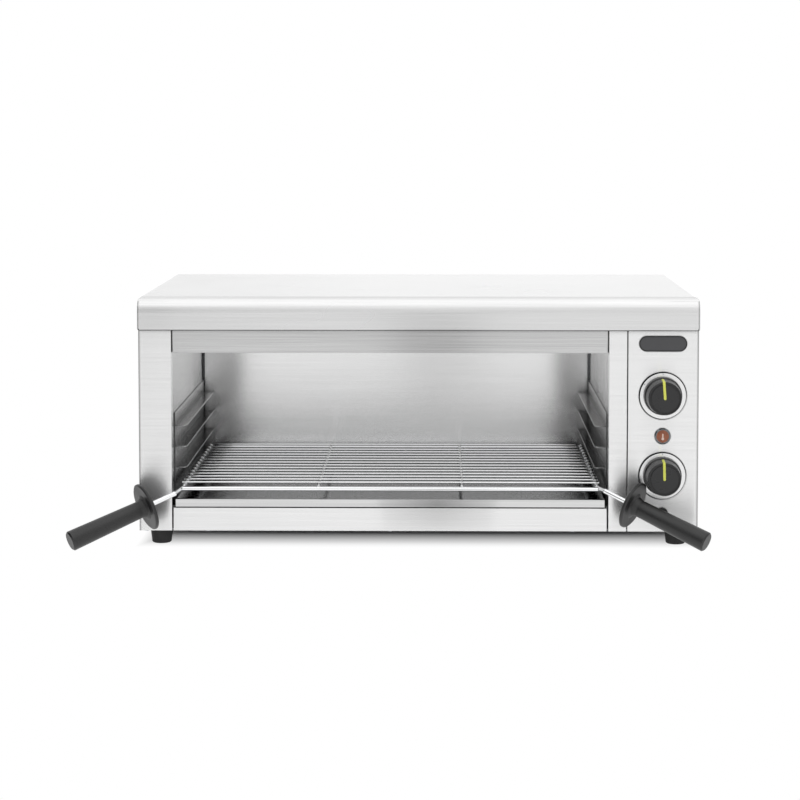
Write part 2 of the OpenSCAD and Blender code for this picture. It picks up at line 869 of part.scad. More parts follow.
module cable_gland() {
    color("#222222") difference() {
        union() {
            peg(gland_x, gland_z, body_d - 12, body_d + 1, gland_d);
            peg(gland_x, gland_z, body_d, body_d + 4, gland_d + 8, $fn = 6);
            translate([gland_x, body_d + 3.9, gland_z]) rotate([-90, 0, 0])
                cylinder(h = gland_out - 4, d1 = gland_d + 4, d2 = gland_d - 2);
            peg(gland_x, gland_z, back_in - 5, back_in, gland_d + 8);
        }
        peg(gland_x, gland_z, body_d - 20, body_d + 20, cord_d);
    }
}

// Leads: supply to the lower control, links between the controls, and four to the elements.
module wiring() {
    tab_y = sheet + control_deep + 8;
    loop_y = tab_y + 20;
    riser_y = sheet + control_deep - 4;
    top_y = sheet + control_deep / 2;
    for (i = [0, 1]) {
        x = panel_mid + (i * 2 - 1) * 10;
        color("firebrick") rod([
            [x, tab_y, upper_z], [x, loop_y, upper_z], [x, loop_y, lower_z], [x, tab_y, lower_z]
        ], lead_d);
        supply_x = block_x + (i + 1.5) * terminal_pitch;
        color("royalblue") rod([
            [supply_x, block_y + 1, lead_z], [supply_x, riser_y, lead_z],
            [supply_x, riser_y, lower_z - control_box / 2]
        ], lead_d);
    }
    for (m = [0, 1], leg = [0, 1]) {
        y = element_mid + (m - 0.5) * element_pitch + (leg - 0.5) * hairpin;
        x = panel_mid - 12 + (m * 2 + leg) * 8;
        color("white") rod([
            [terminal_x + 10, y, element_z], [x, y, element_z], [x, top_y, element_z],
            [x, top_y, upper_z + control_box / 2]
        ], lead_d);
    }
}

// ---- Drip tray and rack ----

module drip_tray() {
    right = tray_l + tray_w;
    color("gray") {
        difference() {
            block([tray_l, 0, tray_z], [right, tray_d, tray_z + tray_h]);
            block([tray_l + tray_t, tray_t, tray_z + tray_t], [right - tray_t, tray_d - tray_t, tray_z + tray_h + 1]);
        }
        block([tray_l, tray_t - eps, tray_z + tray_h - tray_t], [right, 5, tray_z + tray_h]);
    }
}

module rack_frame() {
    back = bar_y + rack_d;
    turn = bar_y + 8;
    bar_d = rod_d - 0.2;
    color("gainsboro") {
        rod([
            left_bend + tail * left_aim, left_bend, [rack_l, turn, rack_z], [rack_l, back, rack_z],
            [rack_r, back, rack_z], [rack_r, turn, rack_z], right_bend, right_bend + tail * right_aim
        ], rod_d);
        translate([rack_l, bar_y, rack_z]) rotate([0, 90, 0]) cylinder(h = rack_r - rack_l, d = bar_d);
        for (x = [open_mid - stay_span / 2, open_mid + stay_span / 2]) {
            translate([x, bar_y, stay_z]) rotate([-90, 0, 0]) cylinder(h = rack_d, d = stay_d);
        }
    }
}

module rack_wires() {
    color("gainsboro") {
        for (i = [0 : wires - 1]) translate([rack_l - rod_d / 2, bar_y + first_wire + i * wire_pitch, grid_z]) {
            rotate([0, 90, 0]) cylinder(h = rack_r - rack_l + rod_d, d = wire_d);
        }
    }
}

// Grip and heat guard, made along +Z from the stem's bend.
module handle_shape() {
    neck = 7;
    color("#333333") translate([0, 0, stem_l]) difference() {
        rotate_extrude($fn = 96) polygon([
            [0, 0], [guard_d / 2 - 1.5, 0], [guard_d / 2, 1], [guard_d / 2, guard_t - 1],
            [guard_d / 2 - 1.5, guard_t], [grip_d1 / 2 + 5, guard_t], [grip_d1 / 2 + 1.5, guard_t + 2],
            [grip_d1 / 2, guard_t + neck], [grip_d2 / 2, grip_l - 1.5], [grip_d2 / 2 - 1.5, grip_l], [0, grip_l]
        ]);
        translate([0, 0, -1]) cylinder(h = stem_in + 1.5, d = rod_d + 2 * shaft_fit);
    }
}

module left_handle() {
    translate(left_bend) aimed(left_aim) handle_shape();
}

module right_handle() {
    translate(right_bend) aimed(right_aim) handle_shape();
}

place() top_cover();
place() left_side_panel();
place() control_panel();
place() right_post();
place() top_rail();
place() bottom_rail();
place() base_plate();
place() back_panel();
place() cavity_left_wall();
place() cavity_right_wall();
place() cavity_back();
place() cavity_floor();
place() cavity_ceiling();
place() left_rack_guides();
place() right_rack_guides();
place() front_element();
place() rear_element();
place() element_brackets();
place() element_bushes();
place() feet();
place() foot_screws();
place() base_screws();
place() back_screws();
place() dial_ring(upper_z);  // upper_dial_ring
place() dial_ring(lower_z);  // lower_dial_ring
place() control_body(upper_z);  // upper_control
place() control_body(lower_z);  // lower_control
place() knob(upper_z, upper_lean);  // upper_knob
place() knob(lower_z, lower_lean);  // lower_knob
place() pointer(upper_z, upper_lean);  // upper_pointer
place() pointer(lower_z, lower_lean);  // lower_pointer
place() spindle(upper_z);  // upper_spindle
place() spindle(lower_z);  // lower_spindle
place() lamp_bezel();
place() lamp_lens();
place() lamp_body();
place() badge_plate();
place() reset_button();
place() reset_collar();
place() safety_cutout();
place() sensor_bulb();
place() bulb_clips();
place() terminal_block();
place() cable_gland();
place() wiring();
place() drip_tray();
place() rack_frame();
place() rack_wires();
place() left_handle();
place() right_handle();
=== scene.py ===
import math

import bmesh
import bpy
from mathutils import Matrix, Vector


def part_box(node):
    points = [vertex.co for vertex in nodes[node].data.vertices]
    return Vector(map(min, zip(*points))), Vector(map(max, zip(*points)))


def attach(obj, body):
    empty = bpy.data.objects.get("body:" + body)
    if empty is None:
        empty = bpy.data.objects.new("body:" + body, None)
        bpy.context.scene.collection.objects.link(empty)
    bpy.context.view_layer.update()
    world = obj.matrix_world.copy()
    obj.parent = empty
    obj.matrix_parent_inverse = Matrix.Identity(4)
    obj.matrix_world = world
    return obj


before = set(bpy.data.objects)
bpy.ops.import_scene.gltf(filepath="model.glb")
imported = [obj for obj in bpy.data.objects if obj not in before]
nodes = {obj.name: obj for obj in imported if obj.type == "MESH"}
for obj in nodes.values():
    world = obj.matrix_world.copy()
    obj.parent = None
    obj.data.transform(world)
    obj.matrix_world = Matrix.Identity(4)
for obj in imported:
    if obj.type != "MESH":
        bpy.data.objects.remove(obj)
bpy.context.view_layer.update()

mm = 0.001
mouldEdge = 0.5 * mm  # the edge radius that a mould leaves
textureDepth = 0.05 * mm  # the depth of a spark-eroded texture
markDepth = 0.03 * mm  # the depth of turning marks
print("frame loaded:", len(nodes), "nodes")

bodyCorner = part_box("left_side_panel")[0]  # front left bottom corner of the body


def toLinear(hexCode):  # an sRGB hex value as the linear colour that shaders take
    parts = [int(hexCode[i:i + 2], 16) / 255 for i in (1, 3, 5)]
    return tuple(p / 12.92 if p <= 0.04045 else ((p + 0.055) / 1.055) ** 2.4 for p in parts) + (1.0,)


def addNode(tree, kind, links=None, values=None, **settings):
    node = tree.nodes.new("ShaderNode" + kind)
    for name, value in settings.items():
        setattr(node, name, value)
    for socket, value in (values or {}).items():
        node.inputs[socket].default_value = value
    for socket, source in (links or {}).items():
        tree.links.new(source, node.inputs[socket])
    return node


def newMaterial(name):
    material = bpy.data.materials.new(name)
    material.use_nodes = True
    tree = material.node_tree
    return material, tree, tree.nodes["Principled BSDF"]


def addNoise(tree, place, size, detail):  # noise with blobs of about size mm
    return addNode(tree, "TexNoise", {0: place.outputs["Object"]}, {2: 1 / (size * mm), 3: detail})


def addTone(tree, noise, look):  # a colour that drifts from dark to light with the noise
    dark, light = toLinear(look["dark"]), toLinear(look["light"])
    return addNode(tree, "Mix", {0: noise.outputs[0]}, {6: dark, 7: light}, data_type="RGBA")


def varyRoughness(tree, shader, noise, least, most):  # from least to most over the middle of the noise
    rough = addNode(tree, "MapRange", {0: noise.outputs[0]}, {1: 0.3, 2: 0.7, 3: least, 4: most})
    tree.links.new(rough.outputs[0], shader.inputs["Roughness"])


def addPiece(name, build, material, body):  # a mesh made by build(bm), riding on its body
    bm = bmesh.new()
    build(bm)
    bmesh.ops.recalc_face_normals(bm, faces=bm.faces)
    mesh = bpy.data.meshes.new(name)
    bm.to_mesh(mesh)
    bm.free()
    for face in mesh.polygons:
        face.use_smooth = True
    mesh.set_sharp_from_angle(angle=math.radians(35))
    mesh.materials.append(material)
    piece = bpy.data.objects.new(name, mesh)
    bpy.context.scene.collection.objects.link(piece)
    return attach(piece, body)


# Stainless steel sheet, brushed along the width: the scratches stretch each highlight upwards and
# downwards, so the faces show soft bands and no clear picture of what is in front of them. Thin sheet
# also bows a little and its folded edges are rounded. Shade is painted into its colour: seams and
# undersides are mixed towards a dark colour as painted shade. "seamReach" is how far the painted shade
# of a seam reaches, "seamFrom" and "seamTo" are how open to the room a point is at "seamTone" and at
# full tone, and "underTone" and "topTone" are the painted tones of the faces that look down and up,
# painted shade below 1 and painted light above it. "ends" names the node at whose ends a front face is
# painted in shade and curls back. Real 180 grit scratches are 0.1 mm wide, too fine to show, so the
# streaks drawn are wider. Lengths are in mm.
def brushedSteel(name, look):
    material, tree, shader = newMaterial(name)
    place = addNode(tree, "TexCoord")
    facing = addNode(tree, "SeparateXYZ", {0: place.outputs["Normal"]})
    side = addNode(tree, "Math", {0: facing.outputs[0]}, operation="ABSOLUTE")
    onSide = addNode(tree, "Math", {0: side.outputs[0]}, {1: 0.7}, operation="GREATER_THAN")
    parts = addNode(tree, "SeparateXYZ", {0: place.outputs["Object"]})
    turned = addNode(tree, "CombineXYZ", {0: parts.outputs[1], 1: parts.outputs[0], 2: parts.outputs[2]})
    along = addNode(tree, "Mix", {0: onSide.outputs[0], 4: place.outputs["Object"], 5: turned.outputs[0]},
                    data_type="VECTOR")
    long, wide = 1 / (look["streakLength"] * mm), 1 / (look["streakWidth"] * mm)
    grain = addNode(tree, "Mapping", {0: along.outputs[1]}, {3: (long, wide, wide)})
    streaks = addNode(tree, "TexNoise", {0: grain.outputs[0]}, {2: 1.0, 3: 3.0, 4: 0.6})
    drawn = addNode(tree, "Mapping", {0: along.outputs[1]}, {3: (1 / look["cloudStretch"], 1, 1)})
    cloud = addNode(tree, "TexNoise", {0: drawn.outputs[0]}, {2: 1 / (look["cloudSize"] * mm), 3: 2.0})
    shade = addNode(tree, "MapRange", {0: streaks.outputs[0]}, {1: 0.3, 2: 0.7})
    tone = addTone(tree, shade, look)
    rough = addNode(tree, "MapRange", {0: cloud.outputs[0]},
                    {1: 0.1, 2: 0.9, 3: look["roughness"] * 0.85, 4: look["roughness"] * 1.15})
    edges = addNode(tree, "Bevel", values={0: look["edgeRound"] * mm}, samples=4)
    # Painted shade: ambient occlusion darkens the colour in seams, recesses and under overhangs.
    nook = addNode(tree, "AmbientOcclusion", values={1: look["seamReach"] * mm}, samples=6)
    seam = addNode(tree, "MapRange", {0: nook.outputs[1]},
                   {1: look["seamFrom"], 2: look["seamTo"], 3: look["seamTone"], 4: 1.0})
    # Painted tones by facing: painted shade on faces that look down, and on faces that look up a tone set
    # by topTone, painted light above 1 and painted shade below it.
    under = addNode(tree, "MapRange", {0: facing.outputs[2]},
                    {1: -0.8, 2: -0.1, 3: look["underTone"], 4: 1.0})
    upper = addNode(tree, "MapRange", {0: facing.outputs[2]},
                    {1: 0.6, 2: 0.9, 3: 1.0, 4: look["topTone"]})
    turnedTone = addNode(tree, "Math", {0: under.outputs[0], 1: upper.outputs[0]}, operation="MULTIPLY")
    unshaded = addNode(tree, "Math", {0: seam.outputs[0], 1: turnedTone.outputs[0]}, operation="MULTIPLY")
    # Painted shade on front faces near the two ends of the named node.
    if "ends" in look:  # "inward" is how far a point is in from the nearer end of the sheet
        low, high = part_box(look["ends"])
        middle, half = (low.x + high.x) / 2, (high.x - low.x) / 2
        offset = addNode(tree, "Math", {0: parts.outputs[0]}, {1: middle}, operation="SUBTRACT")
        away = addNode(tree, "Math", {0: offset.outputs[0]}, operation="ABSOLUTE")
        inward = addNode(tree, "Math", {1: away.outputs[0]}, {0: half}, operation="SUBTRACT")
        endUnshaded = addNode(tree, "MapRange", {0: inward.outputs[0]},
                        {1: look["endFrom"] * mm, 2: look["endTo"] * mm, 3: look["endTone"], 4: 1.0})
        onFront = addNode(tree, "Math", {0: facing.outputs[1]}, {1: -0.7}, operation="LESS_THAN")
        atEnd = addNode(tree, "Mix", {0: onFront.outputs[0], 3: endUnshaded.outputs[0]}, {2: 1.0})
        unshaded = addNode(tree, "Math", {0: unshaded.outputs[0], 1: atEnd.outputs[0]}, operation="MULTIPLY")
    # The painted shade mixes the streaked tone towards the dark shade colour.
    shadedTone = addNode(tree, "Mix", {0: unshaded.outputs[0], 7: tone.outputs[2]}, {6: toLinear(look["shadeColour"])},
                     data_type="RGBA")
    bow = addNode(tree, "Bump", {"Height": cloud.outputs[0], "Normal": edges.outputs[0]},
                  {"Strength": 1.0, "Distance": look["bow"] * mm})
    if "ends" in look:
        toEnd = addNode(tree, "MapRange", {0: inward.outputs[0]}, {1: look["endReach"] * mm, 2: 0})
        squared = addNode(tree, "Math", {0: toEnd.outputs[0]}, {1: 2.0}, operation="POWER")
        curl = addNode(tree, "Math", {0: squared.outputs[0], 1: onFront.outputs[0]}, operation="MULTIPLY")
        bow = addNode(tree, "Bump", {"Height": curl.outputs[0], "Normal": bow.outputs[0]},
                      {"Strength": 1.0, "Distance": look["endBow"] * mm})
    relief = addNode(tree, "Bump", {"Height": streaks.outputs[0], "Normal": bow.outputs[0]},
                     {"Strength": look["relief"], "Distance": look["scratchDepth"] * mm})
    across = addNode(tree, "CombineXYZ", values={1: 0.01, 2: 1.0})  # up, but never quite a face's normal
    tree.links.new(shadedTone.outputs[2], shader.inputs["Base Color"])
    tree.links.new(rough.outputs[0], shader.inputs["Roughness"])
    tree.links.new(relief.outputs[0], shader.inputs["Normal"])
    tree.links.new(across.outputs[0], shader.inputs["Tangent"])
    shader.inputs["Metallic"].default_value = 1.0
    shader.inputs["Anisotropic"].default_value = look["stretch"]
    return material


# What most of the sheets share.
sheetLook = {"shadeColour": "#202020", "relief": 0.22, "streakLength": 150, "streakWidth": 1.6,
             "cloudSize": 90, "cloudStretch": 1.5, "bow": 0.25, "edgeRound": 0.9, "seamReach": 6,
             "seamFrom": 0.25, "seamTo": 0.8, "seamTone": 0.1, "underTone": 0.15, "topTone": 1.0,
             "scratchDepth": 0.02}
# Top cover and apron: painted a shade darker than the faces as painted shade, with the broadest bands,
# and the ends curled well back and darkened as painted shade.
coverLook = {**sheetLook, "light": "#e6e6e6", "dark": "#dedede", "roughness": 0.26, "stretch": 0.9,
             "shadeColour": "#303030", "streakLength": 160, "cloudSize": 120, "bow": 0.5, "seamTone": 0.25,
             "underTone": 0.1, "ends": "top_cover", "endFrom": 0.3, "endTo": 2.2, "endTone": 0.45,
             "endReach": 45, "endBow": -0.9}
# Side panel, control panel and right post: bright and even, with painted shade at the outer ends of their
# fronts.
faceLook = {**sheetLook, "light": "#f4f4f4", "dark": "#eeeeee", "roughness": 0.25, "stretch": 0.93,
            "shadeColour": "#303030", "streakLength": 130, "streakWidth": 1.4, "ends": "top_cover",
            "endFrom": 0.3, "endTo": 2.4, "endTone": 0.35, "endReach": 20, "endBow": -0.1}
# Bottom rail: as the faces, with painted shade where it butts against the posts.
bottomLook = {**sheetLook, "light": "#f2f2f2", "dark": "#ececec", "roughness": 0.24, "stretch": 0.93,
              "streakLength": 130, "streakWidth": 1.4, "ends": "bottom_rail", "endFrom": 0.1,
              "endTo": 0.6, "endTone": 0.5, "endReach": 20, "endBow": -0.2}
# Top rail: painted a tone darker than the faces as painted shade, with painted shade at its ends and
# coarser streaks.
railLook = {**sheetLook, "light": "#d4d4d4", "dark": "#c2c2c2", "roughness": 0.24, "stretch": 0.93,
            "relief": 0.3, "streakLength": 180, "streakWidth": 1.4, "cloudSize": 100, "bow": 0.4,
            "edgeRound": 0.6, "ends": "top_rail", "endFrom": 1.2, "endTo": 1.8, "endTone": 0.3,
            "endReach": 20, "endBow": -0.2}
# Back of the cavity: painted nearly white, lighter than the walls of the same steel, as painted light,
# with painted shade at its ends and reflections that bend towards them.
backLook = {**sheetLook, "light": "#fafafa", "dark": "#f4f4f4", "roughness": 0.24, "stretch": 0.8,
            "shadeColour": "#303030", "relief": 0.1, "cloudSize": 140, "bow": 0.5, "edgeRound": 0.4,
            "seamReach": 8, "seamTone": 0.3, "underTone": 0.5, "ends": "cavity_back", "endFrom": 0.5,
            "endTo": 2, "endTone": 0.2, "endReach": 90, "endBow": -3.0}
# Walls and floor of the cavity: painted darker than the back of the same steel, as painted shade, and
# shinier, so they mirror what is beside them.
wallLook = {**sheetLook, "light": "#b8b8b8", "dark": "#ababab", "roughness": 0.13, "stretch": 0.7,
            "relief": 0.15, "cloudStretch": 1, "bow": 0.7, "edgeRound": 0.4, "seamReach": 8,
            "seamTone": 0.2, "underTone": 0.5}
# Ceiling of the cavity: aluminised, so pale and matt.
ceilingLook = {**sheetLook, "light": "#f6f6f6", "dark": "#eeeeee", "roughness": 0.5, "stretch": 0.3,
               "shadeColour": "#404040", "relief": 0.3, "cloudStretch": 1, "bow": 0.5, "edgeRound": 0.4,
               "seamReach": 8, "seamTone": 0.3, "underTone": 1.0}
# Rack guides: painted light on top of the shelves, and painted shade under and behind them.
guideLook = {**sheetLook, "light": "#dadada", "dark": "#c8c8c8", "roughness": 0.24, "stretch": 0.4,
             "shadeColour": "#141414", "relief": 0.2, "streakLength": 60, "streakWidth": 1.2,
             "cloudSize": 60, "cloudStretch": 1, "bow": 0.2, "edgeRound": 0.6, "seamReach": 30,
             "seamTone": 0.05, "underTone": 0.12, "topTone": 1.8, "seamFrom": 0.55, "seamTo": 0.95}
# Drip tray: shiny, with a light front and a dark inside, where the faces that look up are darkened as
# painted shade.
trayLook = {**sheetLook, "light": "#dadada", "dark": "#d0d0d0", "roughness": 0.12, "stretch": 0.7,
            "relief": 0.05, "streakLength": 200, "streakWidth": 2, "cloudSize": 14, "cloudStretch": 14,
            "bow": 0.12, "edgeRound": 0.6, "seamTone": 0.2, "underTone": 0.2, "topTone": 0.22}
# Base plate and back panel: plain mill finish, grey and dull.
plateLook = {**sheetLook, "light": "#b4b6b8", "dark": "#a6a8ab", "roughness": 0.38, "stretch": 0.3,
             "shadeColour": "#303030", "relief": 0.3, "streakLength": 40, "streakWidth": 2, "cloudSize": 60,
             "cloudStretch": 1, "bow": 0.3, "edgeRound": 0.3, "seamReach": 5, "seamTone": 0.3,
             "underTone": 0.8}

coverSteel = brushedSteel("brushed_steel_cover", coverLook)
faceSteel = brushedSteel("brushed_steel_faces", faceLook)
bottomSteel = brushedSteel("brushed_steel_bottom_rail", bottomLook)
railSteel = brushedSteel("brushed_steel_top_rail", railLook)
backSteel = brushedSteel("bright_annealed_steel_back", backLook)
wallSteel = brushedSteel("bright_annealed_steel_walls", wallLook)
ceilingSteel = brushedSteel("aluminised_steel_ceiling", ceilingLook)
guideSteel = brushedSteel("rolled_steel_guides", guideLook)
traySteel = brushedSteel("rolled_steel_tray", trayLook)
plateSteel = brushedSteel("mill_finish_steel_plate", plateLook)


# Chrome plate: bright, with black and white lines along each wire, duller on the welds of the rack and
# darker on the small bezel of the lamp.
def chromedWire(name, look):
    material, tree, shader = newMaterial(name)
    wave = addNoise(tree, addNode(tree, "TexCoord"), look["waveSize"], 2.0)
    varyRoughness(tree, shader, wave, look["roughness"] * 0.6, look["roughness"] * 1.6)
    shader.inputs["Base Color"].default_value = toLinear(look["colour"])
    shader.inputs["Metallic"].default_value = 1.0
    return material


chrome = chromedWire("chromed_wire", {"colour": "#f8f9fa", "roughness": 0.12, "waveSize": 30})
weldChrome = chromedWire("chromed_weld", {"colour": "#ffffff", "roughness": 0.5, "waveSize": 5})
bezelChrome = chromedWire("chromed_bezel", {"colour": "#76787a", "roughness": 0.12, "waveSize": 12})


# Stained metal, such as zinc plated screws: bright with a faint cast of colour and small stains.
def stainedMetal(name, look):
    material, tree, shader = newMaterial(name)
    stain = addNoise(tree, addNode(tree, "TexCoord"), look["stainSize"], 3.0)
    tone = addTone(tree, stain, look)
    tree.links.new(tone.outputs[2], shader.inputs["Base Color"])
    varyRoughness(tree, shader, stain, look["roughness"] * 0.8, look["roughness"] * 1.2)
    shader.inputs["Metallic"].default_value = 1.0
    return material


# Zinc on the screws: bluish white. Zinc on the brackets: greyer, with larger stains.
screwZinc = stainedMetal("zinc_plated_screw", {
    "light": "#dfe3e8", "dark": "#c3c8cf", "roughness": 0.25, "stainSize": 3})
bracketZinc = stainedMetal("zinc_plated_bracket", {
    "light": "#c8ccd0", "dark": "#a7abb0", "roughness": 0.35, "stainSize": 9})
# Sheath of the heating elements: bright steel with the brown cast of its first heating.
elementSheath = stainedMetal("heat_tinted_sheath", {
    "light": "#bdb3a6", "dark": "#948a7e", "roughness": 0.35, "stainSize": 14})
# Drawn copper tube: warm metal, dulled by handling.
copperTube = stainedMetal("drawn_copper", {
    "light": "#c98a62", "dark": "#8f5a3c", "roughness": 0.35, "stainSize": 12})
print("steel, chrome, zinc and copper made")


# Moulded plastic: an even colour under a fine spark-eroded texture that softens its highlights, with
# edges that are rounded off by the mould.
def mouldedPlastic(name, look):
    material, tree, shader = newMaterial(name)
    place = addNode(tree, "TexCoord")
    texture = addNoise(tree, place, look["textureSize"], 2.0)
    cloud = addNoise(tree, place, look["cloudSize"], 2.0)
    tone = addTone(tree, cloud, look)
    edges = addNode(tree, "Bevel", values={0: mouldEdge}, samples=4)
    relief = addNode(tree, "Bump", {"Height": texture.outputs[0], "Normal": edges.outputs[0]},
                     {"Strength": look["relief"], "Distance": textureDepth})
    varyRoughness(tree, shader, cloud, look["roughness"] * 0.9, look["roughness"] * 1.12)
    tree.links.new(tone.outputs[2], shader.inputs["Base Color"])
    tree.links.new(relief.outputs[0], shader.inputs["Normal"])
    shader.inputs["IOR"].default_value = look["ior"]
    return material


# Handles: near black and satin, so each takes one soft grey highlight.
bakelite = mouldedPlastic("phenolic_moulding", {
    "light": "#191919", "dark": "#121213", "roughness": 0.42, "relief": 0.25, "textureSize": 0.7,
    "cloudSize": 25, "ior": 1.6})
# Knobs: a little lighter and glossier than the handles.
knobPlastic = mouldedPlastic("satin_knob_plastic", {
    "light": "#262627", "dark": "#1c1c1d", "roughness": 0.28, "relief": 0.15, "textureSize": 0.5,
    "cloudSize": 14, "ior": 1.5})
# Pointer stripes: flat yellow green, the brightest colour on the panel.
pointerPlastic = mouldedPlastic("yellow_green_insert", {
    "light": "#e2e56a", "dark": "#d8dc54", "roughness": 0.4, "relief": 0.1, "textureSize": 0.6,
    "cloudSize": 8, "ior": 1.5})
# Small black fittings: plain satin.
blackPlastic = mouldedPlastic("black_polyamide", {
    "light": "#262626", "dark": "#1d1d1d", "roughness": 0.4, "relief": 0.3, "textureSize": 0.6,
    "cloudSize": 9, "ior": 1.53})
# Cases of the controls: mid grey and dull.
casePlastic = mouldedPlastic("control_case_moulding", {
    "light": "#55565a", "dark": "#48494c", "roughness": 0.5, "relief": 0.3, "textureSize": 0.8,
    "cloudSize": 12, "ior": 1.55})
# Lamp body and terminal block: off-white, with the grain of fired ceramic.
paleCeramic = mouldedPlastic("pale_steatite", {
    "light": "#e3dfd2", "dark": "#d6d1c2", "roughness": 0.45, "relief": 0.4, "textureSize": 1.0,
    "cloudSize": 10, "ior": 1.55})
# Feet: dull black with hardly any highlight.
footRubber = mouldedPlastic("moulded_foot_rubber", {
    "light": "#1e1e1e", "dark": "#151515", "roughness": 0.7, "relief": 0.6, "textureSize": 0.9,
    "cloudSize": 10, "ior": 1.52})
# Leads: a pale, matt woven sleeve.
leadSleeve = mouldedPlastic("glass_fibre_sleeve", {
    "light": "#cfc9bd", "dark": "#b3ab9c", "roughness": 0.8, "relief": 0.8, "textureSize": 0.8,
    "cloudSize": 3, "ior": 1.45})
# Marks on the dials: flat dark blue.
printInk = mouldedPlastic("dial_ink", {
    "light": "#3a3f58", "dark": "#333750", "roughness": 0.5, "relief": 0.1, "textureSize": 0.6,
    "cloudSize": 6, "ior": 1.5})
# Sign in the lamp lens: white, turned pink by the lens round it.
markPlastic = mouldedPlastic("pale_lamp_mark", {
    "light": "#f0d8cc", "dark": "#e6c9ba", "roughness": 0.4, "relief": 0.1, "textureSize": 0.6,
    "cloudSize": 4, "ior": 1.5})


# Spun aluminium dial disc: satin white from its fine turning marks, with a dark rim line that is partly
# print and partly painted shade: it sits a little off centre, so the painted shade makes it thicker at
# the upper left.
def spunAluminium(look, middle):
    material, tree, shader = newMaterial("spun_aluminium")
    place = addNode(tree, "TexCoord")
    centred = addNode(tree, "VectorMath", {0: place.outputs["Object"]}, {1: middle}, operation="SUBTRACT")
    flat = addNode(tree, "VectorMath", {0: centred.outputs[0]}, {1: (1, 0, 1)}, operation="MULTIPLY")
    radius = addNode(tree, "VectorMath", {0: flat.outputs[0]}, operation="LENGTH")
    # Painted shade: the rim line's middle is moved right and down, so the line is thicker at the upper
    # left.
    shift = look["rimShadeShift"] * Vector((mm, 0, -mm))
    offset = addNode(tree, "VectorMath", {0: flat.outputs[0]}, {1: shift}, operation="SUBTRACT")
    rimRadius = addNode(tree, "VectorMath", {0: offset.outputs[0]}, operation="LENGTH")
    turned = addNode(tree, "CombineXYZ", {0: radius.outputs[1]})
    rings = addNode(tree, "TexNoise", {0: turned.outputs[0]}, {2: 1 / (look["ringWidth"] * mm), 3: 1.0})
    tone = addTone(tree, rings, look)
    onRim = addNode(tree, "Math", {0: rimRadius.outputs[1]}, {1: look["rimStart"] * mm},
                    operation="GREATER_THAN")
    face = addNode(tree, "Mix", {0: onRim.outputs[0], 6: tone.outputs[2]}, {7: toLinear(look["rim"])},
                   data_type="RGBA")
    marks = addNode(tree, "Bump", {"Height": rings.outputs[0]},
                    {"Strength": look["relief"], "Distance": markDepth})
    tree.links.new(face.outputs[2], shader.inputs["Base Color"])
    tree.links.new(marks.outputs[0], shader.inputs["Normal"])
    shader.inputs["Metallic"].default_value = 1.0
    shader.inputs["Roughness"].default_value = look["roughness"]
    return material


dialLook = {"light": "#f8f8f8", "dark": "#e8e8e8", "rim": "#2a2b2e", "roughness": 0.25, "relief": 0.4,
            "ringWidth": 0.5, "rimStart": 25.3, "rimShadeShift": 0.5}


# Dark enamel on the bare badge plate, a shade lighter than its black raised rim.
badgeLook = {"light": "#4c4c4e", "dark": "#454547", "rim": "#101010", "roughness": 0.35, "cloudSize": 20,
             "rimDepth": 1.05}


def stoveEnamel(look):
    material, tree, shader = newMaterial("dark_stove_enamel")
    place = addNode(tree, "TexCoord")
    cloud = addNoise(tree, place, look["cloudSize"], 2.0)
    tone = addTone(tree, cloud, look)
    parts = addNode(tree, "SeparateXYZ", {0: place.outputs["Object"]})
    onRim = addNode(tree, "Math", {0: parts.outputs[1]}, {1: bodyCorner.y - look["rimDepth"] * mm},
                    operation="LESS_THAN")
    face = addNode(tree, "Mix", {0: onRim.outputs[0], 6: tone.outputs[2]}, {7: toLinear(look["rim"])},
                   data_type="RGBA")
    varyRoughness(tree, shader, cloud, look["roughness"] * 0.9, look["roughness"] * 1.1)
    tree.links.new(face.outputs[2], shader.inputs["Base Color"])
    return material


badgeEnamel = stoveEnamel(badgeLook)


# Amber polycarbonate lens: with the lamp out it is a dark, uneven orange under a glossy skin.
def amberLens(look):
    material, tree, shader = newMaterial("amber_polycarbonate")
    cloud = addNoise(tree, addNode(tree, "TexCoord"), look["cloudSize"], 2.0)
    tone = addTone(tree, cloud, look)
    tree.links.new(tone.outputs[2], shader.inputs["Base Color"])
    shader.inputs["Roughness"].default_value = look["roughness"]
    shader.inputs["IOR"].default_value = 1.585
    shader.inputs["Coat Weight"].default_value = 0.2
    shader.inputs["Coat Roughness"].default_value = 0.05
    return material


lensPlastic = amberLens({"light": "#b05c2c", "dark": "#6c3214", "roughness": 0.1, "cloudSize": 4})
print("plastics, ceramic and badge made")


def dialMiddle(name):  # the middle of a dial, on its front face
    low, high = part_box(name)
    return ((low.x + high.x) / 2, low.y, (low.z + high.z) / 2)


